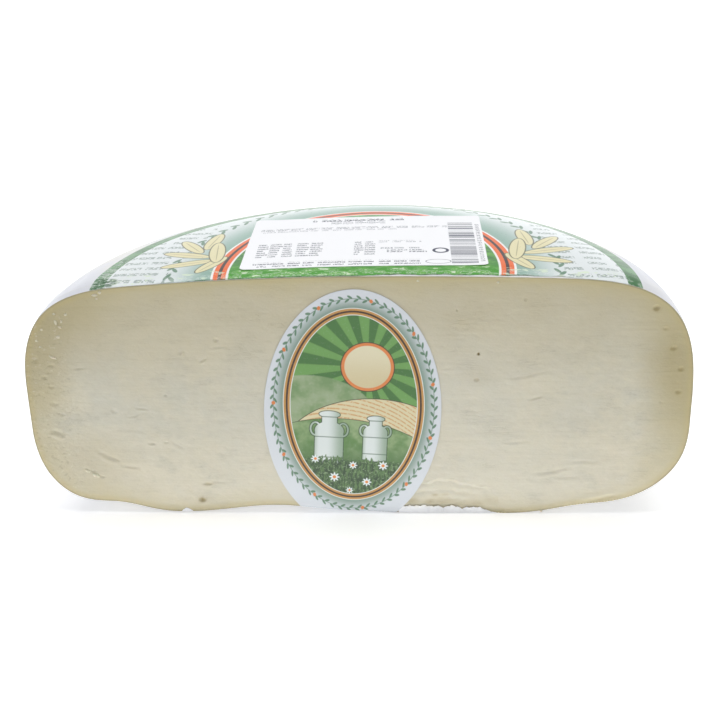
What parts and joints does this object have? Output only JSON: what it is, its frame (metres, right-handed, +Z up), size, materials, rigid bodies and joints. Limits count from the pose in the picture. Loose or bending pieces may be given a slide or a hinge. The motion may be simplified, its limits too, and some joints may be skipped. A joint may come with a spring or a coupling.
{
  "type": "half wheel of goat cheese",
  "caption": "Half wheel of firm pale goat cheese in a white coating, lying flat with its cut face upright, with a round label on top, a weight sticker and an oval label on the cut.",
  "frame": {"origin": "on the surface that the cheese stands on, under the middle of its bounding box", "axes": "+X to the right along the straight cut, +Y from the cut face towards the round back, +Z up"},
  "size_m": [0.249, 0.1252, 0.1002],
  "materials": {
    "coated_cheese": "waxy pale cut face, satin white coating",
    "label_paper": "smooth printed film",
    "sticker_paper": "smooth white thermal paper"
  },
  "bodies": {
    "root": {"half_wheel": "coated_cheese", "round_label": "label_paper", "weight_sticker": "sticker_paper", "oval_label": "label_paper"}
  },
  "joints": []
}
